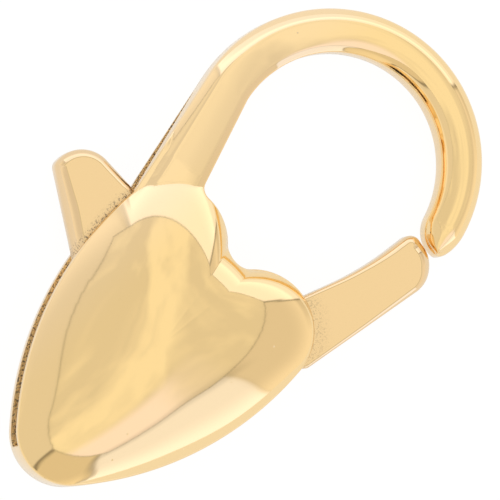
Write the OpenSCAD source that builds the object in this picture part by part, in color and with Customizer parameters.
// Heart-shaped lobster clasp for a chain or bracelet, cast in yellow gold.
// Millimetres. The origin is the lever's pivot axis at the flat back of the case, +X runs from
// the tail of the heart to the hook, +Y to the thumb side, and +Z through the domed front.

/* [Heart case] */
// Length of the whole clasp, tail to the far side of the hook
clasp_l = 23.46; // [22.6:0.1:25]
// Length of the heart case, tail to lobes
heart_l = 12.6; // [12:0.1:13.4]
// Width of the heart case over both lobes
heart_w = 9.76; // [9.2:0.1:10.6]
// Distance from the tail end to the pivot
pivot_back = 5.05; // [4.4:0.1:5.6]
// Radius of the blunt tail end, seen from the front
tail_r = 2.15; // [1.8:0.05:2.4]
// Radius of each lobe, seen from the front
lobe_r = 2.45; // [2.2:0.05:2.6]
// Radius of the long curved sides
side_r = 13.2; // [12:0.2:16]
// Radius of the soft notch between the lobes
cleft_r = 0.8; // [0.5:0.1:1.2]
// Rise of the puffed front above its rim
dome_h = 1.8; // [1.2:0.1:2.4]
// Thickness of the front shell's rim
lip_t = 0.3; // [0.2:0.05:0.6]
// Thickness of the domed front shell
shell_t = 0.6; // [0.45:0.05:0.9]
// Thickness of the back plate
back_t = 0.6; // [0.45:0.05:1]
// Thickness of the closed wall along the tail and the lower side
wall_t = 0.8; // [0.5:0.05:1]

/* [Hook] */
// Outer radius of the loop
loop_r = 6.08; // [5.7:0.02:6.4]
// Width of the hook, seen from the front, at the far side of the loop
hook_w = 1.73; // [1.4:0.05:2.1]
// Thickness of the hook through its middle
hook_t = 1.7; // [1.3:0.05:2]
// Width of the shank where it leaves the case
neck_w = 2.28; // [2:0.05:2.7]
// Thickness of the shank where it leaves the case
neck_t = 2.75; // [2.4:0.05:3]
// Slope of the shank's outer edge to the clasp's length, in degrees
shank_slope = 11; // [8:0.5:14]
// Length of the narrowing slot in the shank's outer side
shank_slot_l = 4.4; // [2:0.1:5]
// Depth of the narrowing slot in the shank's outer side
shank_slot_depth = 0.8; // [0.3:0.1:1.1]

/* [Lever] */
// Thickness of the lever plate
lever_t = 1.2; // [0.9:0.05:1.5]
// Radius of the lever's hub round the pivot
hub_r = 1.8; // [1.4:0.1:2]
// Width of the gate arm at its narrowest
arm_w = 1.95; // [1.7:0.05:2.2]
// Rounding of the gate's outer end corner
nose_r = 1.3; // [0.9:0.05:1.4]
// Distance from the pivot to the thumb tab's front edge
tab_x = 5.8; // [5.4:0.1:6.2]
// Width of the thumb tab where it leaves the case
tab_root_w = 3.54; // [2.8:0.05:3.8]
// Width of the thumb tab near its top
tab_top_w = 1.66; // [1.2:0.1:2.2]
// Height of the thumb tab above the side of the case
tab_out = 2.94; // [2:0.05:3.6]
// Width of the lever's rounded edges
edge_w = 0.18; // [0.1:0.02:0.2]

/* [Pivot pin] */
// Diameter of the pin
pin_d = 1; // [0.8:0.05:1.2]
// Length of the pin
pin_l = 2.7; // [2.5:0.05:2.9]
// Diameter of the pin's countersunk head at the back
pin_head_d = 1.5; // [1.3:0.05:1.8]
// Height of the countersunk head
pin_head_t = 0.25; // [0.15:0.05:0.35]
// Thickness of the boss round the pin inside the front shell
boss_wall = 0.45; // [0.3:0.05:0.6]

/* [Clearances] */
// Gap between the lever and each face of its slot
lever_gap = 0.05; // [0.03:0.01:0.1]
// Gap between the pin and each bore, on the radius
pin_gap = 0.03; // [0.02:0.01:0.06]
// Gap between the gate's end and the hook's tip
tip_gap = 0.1; // [0.06:0.02:0.2]
// Gap between the lever's edges and the walls beside them
wall_gap = 0.3; // [0.2:0.05:0.5]

/* [Hidden] */
gold = [0.88, 0.72, 0.44];
gold_inside = [0.78, 0.60, 0.34];
$fn = 48;

// Levels through the thickness of the case
slot_h = lever_t + 2 * lever_gap;
roof_z = back_t + slot_h;
rim_z = roof_z + lip_t;

// Centres of the heart's arcs: tail, upper lobe, upper side, cleft
tail_c = [tail_r - pivot_back, 0];
lobe_c = [heart_l - pivot_back - lobe_r, heart_w / 2 - lobe_r];
side_c = lower_meeting(tail_c, side_r - tail_r, lobe_c, side_r - lobe_r);
cleft_c = [lobe_c.x + sqrt(pow(lobe_r + cleft_r, 2) - pow(lobe_c.y, 2)), 0];
lobe_end_x = lobe_c.x + lobe_r;
side_start_a = angle_of(lobe_c - side_c);
side_end_a = angle_of(tail_c - side_c);
cleft_a = angle_of(lobe_c - cleft_c);

// How far the dome's middle lies ahead of the heart's
dome_ahead = 0.6;
dome_c = [(lobe_end_x - pivot_back) / 2 + dome_ahead, 0];
// Radius of the round form that the dome's level lines approach near its top, and how far they do
dome_round_r = 0.45 * heart_w;
dome_roundness = 0.7;
// How fast the dome falls towards the rim
dome_fall = 2.4;
// How upright the dome is at the rim
dome_edge = 1.6;
// Width of the eased edge outside the dome's foot
rim_ease = 0.07;
// Width of the eased edge round the back plate
back_ease = 0.15;
// Width of the front shell's solid edge round the hollow
shell_edge_w = wall_t + 0.2;
// How far a cut starts outside the face that it opens
skim = 0.01;

// Hook: how far its loop lies towards the gate, its centre, and where the straight shank's
// outer edge meets it
loop_drop = 0.05;
loop_c = [clasp_l - pivot_back - loop_r, -loop_drop];
shank_a = 90 + shank_slope;
shank_end = loop_c + loop_r * along(shank_a);
shank_l = (shank_end.x - lobe_end_x) / cos(shank_slope);
// Share of the shank's length that is buried in the case
shank_buried = 0.55;
// How late the shank thickens towards the case
neck_flare = 1.3;
// Height of the shank's slot at its narrow end, and how far it starts inside the case's slot
shank_slot_tip = 0.1;
shank_slot_back = 0.5;

// Columns: angle on the loop, width as a share of the hook's width, height as a share of its thickness
ANGLE = 0;
WIDTH = 1;
HEIGHT = 2;
hook_rows = [
    [101, 1.13, 1],
    [90, 1.12, 1],
    [44, 1.03, 1],
    [0, 1, 1],
    [-45, 0.97, 1],
    [-60, 0.92, 1],
    [-76, 0.91, 0.99],
    [-81, 0.83, 0.97],
    [-84.1, 0.72, 0.95],
    [-86.5, 0.54, 0.91],
    [-88, 0.26, 0.8]
];
// First of the rows that round off the tip, and the hook's width there
tip_row = 6;
tip_w = hook_w * hook_rows[tip_row][WIDTH];

// Gate's end: how far its two corners lie ahead of the loop's centre and outside the hook's edges
nose_top_ahead = 0.32;
nose_top_in = 0.26;
nose_low_ahead = -0.02;
nose_low_out = 0.2;
nose_top = loop_c + [nose_top_ahead - tip_gap, tip_w - loop_r + nose_top_in];
nose_low = loop_c + [nose_low_ahead - tip_gap, -loop_r - nose_low_out];

// Where the gate's lower edge leaves the case: ahead of the lobe's centre and outside its side
exit_ahead = 0.4;
exit_out = 0.14;
exit_low = [lobe_c.x + exit_ahead, -(heart_w / 2 + exit_out)];

// The gate's narrowest place, and the corner between the gate and the hub
gate_dip_behind = 2.6;
arm_low = unit(nose_low - exit_low);
gate_dip_l = (loop_c.x - gate_dip_behind - exit_low.x) / arm_low.x;
gate_dip = exit_low + gate_dip_l * arm_low + arm_w * left_of(arm_low);
crook = [1.3 * hub_r, -0.5 * hub_r];

// The gate's step round the end of the closed lower wall
step_behind = 0.35;
step_l = 0.7;
step_in = [exit_low.x - step_behind, -(heart_w / 2 - wall_t - wall_gap)];
step_root = step_in - [step_l, 0];
wall_end_x = step_in.x - wall_gap;

// Thumb tab: its root inside the case's side, and the lean of its front edge
tab_sunk = 0.15;
tab_lean = 0.14;
tab_root = [tab_x - tab_root_w, heart_w / 2 - tab_sunk];
tab_front = [tab_x + tab_lean, heart_w / 2 + tab_out];
tab_back = tab_front - [tab_top_w, 0];
hub_from = tangent_angle(tab_root, 1);
hub_to = tangent_angle(step_root, -1) + 360;

// The lever's room: a length that reaches well outside the case, its end towards the shank,
// and where the closed wall inside the lobes starts
far = heart_w;
neck_x = tab_x + wall_gap;
lobe_wall_y = 0.6;
lobe_wall_x = lobe_end_x - wall_t - 0.4;

function along(a) = [cos(a), sin(a)];
function angle_of(v) = atan2(v.y, v.x);
function unit(v) = v / norm(v);
function left_of(v) = [-v.y, v.x];

// Where two circles meet, the lower of the two points
function lower_meeting(c1, r1, c2, r2) =
    let (
        d = norm(c2 - c1),
        a = (r1 * r1 - r2 * r2 + d * d) / (2 * d),
        h = sqrt(r1 * r1 - a * a),
        m = c1 + a * unit(c2 - c1)
    )
    m - h * left_of(unit(c2 - c1));

// Points of an arc in equal steps, without the last one
function arc(c, r, a0, a1, n) = [for (i = [0 : n - 1]) c + r * along(a0 + (a1 - a0) * i / n)];

// Angle on the hub where a straight edge from a point touches it, on the point's left or right
function tangent_angle(p, side) = angle_of(p) + side * acos(hub_r / norm(p));

// A corner between its neighbours, rounded with a radius, in steps of a set length or angle
corner_step = 0.25;
corner_turn = 6;
function round_corner(before, p, after, r) =
    r == 0 ? [p] :
    let (
        u = unit(before - p),
        v = unit(after - p),
        half = acos(u * v) / 2,
        c = p + unit(u + v) * r / sin(half),
        a0 = angle_of(p + u * r / tan(half) - c),
        turn = angle_of(p + v * r / tan(half) - c) - a0,
        sweep = turn > 180 ? turn - 360 : turn < -180 ? turn + 360 : turn,
        length = abs(sweep) * PI / 180 * r,
        n = max(1, min(ceil(abs(sweep) / corner_turn), floor(length / corner_step)))
    )
    [for (i = [0 : n]) c + r * along(a0 + sweep * i / n)];

// A closed outline of corners, each given as [place, radius]
function rounded(rows) =
    let (n = len(rows))
    [for (i = [0 : n - 1])
        each round_corner(rows[(i + n - 1) % n][0], rows[i][0], rows[(i + 1) % n][0], rows[i][1])];

// An outline moved inwards by a small distance
function inset(points, d) =
    let (n = len(points))
    [for (i = [0 : n - 1])
        points[i] + d * left_of(unit(points[(i + 1) % n] - points[(i + n - 1) % n]))];

function lifted(points, z) = [for (p = points) [p.x, p.y, z]];

// Upper half of the heart's outline, from the cleft round the lobe and side to the tail
half_heart = concat(
    arc(cleft_c, cleft_r, 180, cleft_a, 3),
    arc(lobe_c, lobe_r, cleft_a - 180, side_start_a, 9),
    arc(side_c, side_r, side_start_a, side_end_a, 8),
    arc(tail_c, tail_r, side_end_a, 180, 4),
    [[-pivot_back, 0]]
);
heart = concat(
    half_heart,
    [for (i = [len(half_heart) - 2 : -1 : 1]) [half_heart[i].x, -half_heart[i].y]]
);

// One level line of the dome: the heart's outline drawn in to a share of its size,
// rounder the nearer it is to the top
function level_line(outline, share) =
    let (roundness = dome_roundness * (1 - share))
    [for (p = outline)
        let (v = p - dome_c)
        dome_c + share * ((1 - roundness) * v + roundness * dome_round_r * unit(v))];

function dome_share(share) = pow(1 - pow(share, dome_fall), 1 / dome_edge);

function total(v, i = 0) = i < len(v) ? v[i] + total(v, i + 1) : 0;
function middle(points) = [for (k = [0 : 2]) total([for (p = points) p[k]]) / len(points)];

// A closed solid through a stack of rings with equal numbers of points, each end closed
// by triangles about its middle
module loft(rings) {
    n = len(rings[0]);
    m = len(rings);
    low = n * m;
    high = low + 1;
    last = (m - 1) * n;
    polyhedron(
        points = concat([for (ring = rings) each ring], [middle(rings[0]), middle(rings[m - 1])]),
        faces = concat(
            [for (i = [0 : n - 1]) [low, i, (i + 1) % n]],
            [for (k = [0 : m - 2], i = [0 : n - 1])
                let (a = k * n + i, b = k * n + (i + 1) % n)
                each [[a, a + n, b + n], [a, b + n, b]]],
            [for (i = [0 : n - 1]) [high, last + (i + 1) % n, last + i]]
        )
    );
}

// Level lines of a puffed heart over an outline, from its foot to near its top
function puffed(outline, foot_z, rise) =
    [for (a = [10 : 10 : 80])
        let (share = cos(a))
        lifted(level_line(outline, share), foot_z + rise * dome_share(share))];

// Case in full: eased back, upright sides, eased rim and puffed front
module case_form() {
    foot = inset(heart, rim_ease);
    loft(concat(
        [
            lifted(inset(heart, back_ease), 0),
            lifted(heart, back_ease),
            lifted(heart, rim_z - rim_ease),
            lifted(foot, rim_z)
        ],
        puffed(foot, rim_z, dome_h)
    ));
}

// Hollow inside the front shell
module hollow() {
    foot = inset(heart, shell_edge_w);
    loft(concat([lifted(foot, roof_z - skim), lifted(foot, rim_z)], puffed(foot, rim_z, dome_h - shell_t)));
}

// Cross-section of the hook: flat back with eased edges, upright sides and a domed front
function hook_section(w, t) =
    let (ease = 0.14 * w, side_z = 0.42 * t)
    concat(
        [[w / 2 - ease, 0], [w / 2, ease]],
        [for (a = [0 : 22.5 : 180]) [w / 2 * cos(a), side_z + (t - side_z) * sin(a)]],
        [[-w / 2, ease], [-w / 2 + ease, 0]]
    );

// A section set upright across the hook, at a place on its outer edge
function placed_section(edge, outward, w, t) =
    [for (q = hook_section(w, t))
        let (p = edge + (q[0] - w / 2) * outward)
        [p.x, p.y, q[1]]];

// One column of a table against its angles, in rising order
function column(rows, c) = [for (i = [len(rows) - 1 : -1 : 0]) [rows[i][ANGLE], rows[i][c]]];

module hook() {
    outward = along(shank_a);
    back = -along(shank_slope);
    widths = column(hook_rows, WIDTH);
    heights = column(hook_rows, HEIGHT);
    first_w = hook_w * lookup(shank_a, widths);
    shank_rings = [
        for (s = [1 + shank_buried, 1, 0.8, 0.6, 0.4, 0.2])
        let (share = min(s, 1))
        placed_section(
            shank_end + s * shank_l * back,
            outward,
            first_w + (neck_w - first_w) * share,
            hook_t + (neck_t - hook_t) * pow(share, neck_flare)
        )
    ];
    loop_angles = concat(
        [for (a = [shank_a : -9 : -70]) a],
        [for (i = [tip_row : len(hook_rows) - 1]) hook_rows[i][ANGLE]]
    );
    loop_rings = [
        for (a = loop_angles)
        placed_section(
            loop_c + loop_r * along(a),
            along(a),
            hook_w * lookup(a, widths),
            hook_t * lookup(a, heights)
        )
    ];
    loft(concat(shank_rings, loop_rings));
}

// Plan of the lever's room: bounded by the closed wall, open to the thumb side and to the gate
room = concat(
    [tail_c + far * along(150)],
    arc(tail_c, tail_r - wall_t, 150, 360 - side_end_a, 4),
    arc([side_c.x, -side_c.y], side_r - wall_t, -side_end_a, -acos((wall_end_x - side_c.x) / side_r), 7),
    [
        [wall_end_x, -(heart_w / 2 - wall_t)],
        [wall_end_x, -far],
        [lobe_end_x + 1, -far],
        [lobe_end_x + 1, lobe_wall_y],
        [lobe_wall_x, lobe_wall_y],
        [neck_x, lobe_c.y],
        [neck_x, far],
        [-far, far]
    ]
);

// The wedge-shaped slot that narrows along the shank's outer side
module shank_slot() {
    start = shank_end - (shank_end.x - neck_x) / cos(shank_slope) * along(shank_slope);
    translate([start.x, start.y, 0])
        rotate([0, 0, shank_slope])
            translate([0, skim, 0])
                rotate([90, 0, 0])
                    linear_extrude(skim + shank_slot_depth)
                        polygon([
                            [-shank_slot_back, back_t],
                            [shank_slot_l, back_t],
                            [shank_slot_l, back_t + shank_slot_tip],
                            [-shank_slot_back, roof_z]
                        ]);
}

// Bore and countersink for the pin
module pin_space() {
    translate([0, 0, -skim]) {
        cylinder(h = pin_l + pin_gap + skim, d = pin_d + 2 * pin_gap);
        cylinder(h = pin_head_t + skim, d1 = pin_head_d + 2 * pin_gap, d2 = pin_d + 2 * pin_gap);
    }
}

// Boss round the pin, from the shell's inner face down to the lever
module boss() {
    translate([0, 0, roof_z])
        cylinder(h = rim_z + dome_h - shell_t / 2 - roof_z, d = pin_d + 2 * (pin_gap + boss_wall));
}

// Case and hook, cast and soldered as one: back plate, closed wall, hollow front shell, hook
module body() {
    color(gold)
        difference() {
            union() {
                difference() {
                    union() {
                        case_form();
                        hook();
                    }
                    translate([0, 0, back_t])
                        linear_extrude(slot_h)
                            polygon(room);
                    shank_slot();
                    hollow();
                }
                boss();
            }
            pin_space();
        }
}

// Outline of the lever: gate arm, hub and thumb tab in one plate
lever_outline = rounded(concat(
    [
        [nose_top, 0.3],
        [gate_dip, 12],
        [crook, 0.8],
        [[tab_x, heart_w / 2], 1.5],
        [tab_front, 0.8 * tab_top_w],
        [tab_back, 0.3],
        [tab_root, 2]
    ],
    [for (p = arc([0, 0], hub_r, hub_from, hub_to, 8)) [p, 0]],
    [
        [hub_r * along(hub_to), 0],
        [step_root, 0.5],
        [step_in, 0.2],
        [exit_low, 0.35],
        [nose_low, nose_r]
    ]
));

// The plate with bevelled edges: its outline drawn in, then grown by a small double cone
module lever_plate() {
    translate([0, 0, back_t + lever_gap + edge_w])
        minkowski() {
            linear_extrude(lever_t - 2 * edge_w)
                polygon(inset(lever_outline, edge_w));
            union() {
                cylinder(h = edge_w, r1 = edge_w, r2 = 0, $fn = 8);
                mirror([0, 0, 1])
                    cylinder(h = edge_w, r1 = edge_w, r2 = 0, $fn = 8);
            }
        }
}

module lever() {
    color(gold)
        difference() {
            lever_plate();
            translate([0, 0, back_t])
                cylinder(h = slot_h, d = pin_d + 2 * pin_gap);
        }
}

// Rivet that the lever turns on, its head flush in the back plate
module pivot_pin() {
    color(gold_inside) {
        cylinder(h = pin_l, d = pin_d);
        cylinder(h = pin_head_t, d1 = pin_head_d, d2 = pin_d);
    }
}

body();
lever();
pivot_pin();
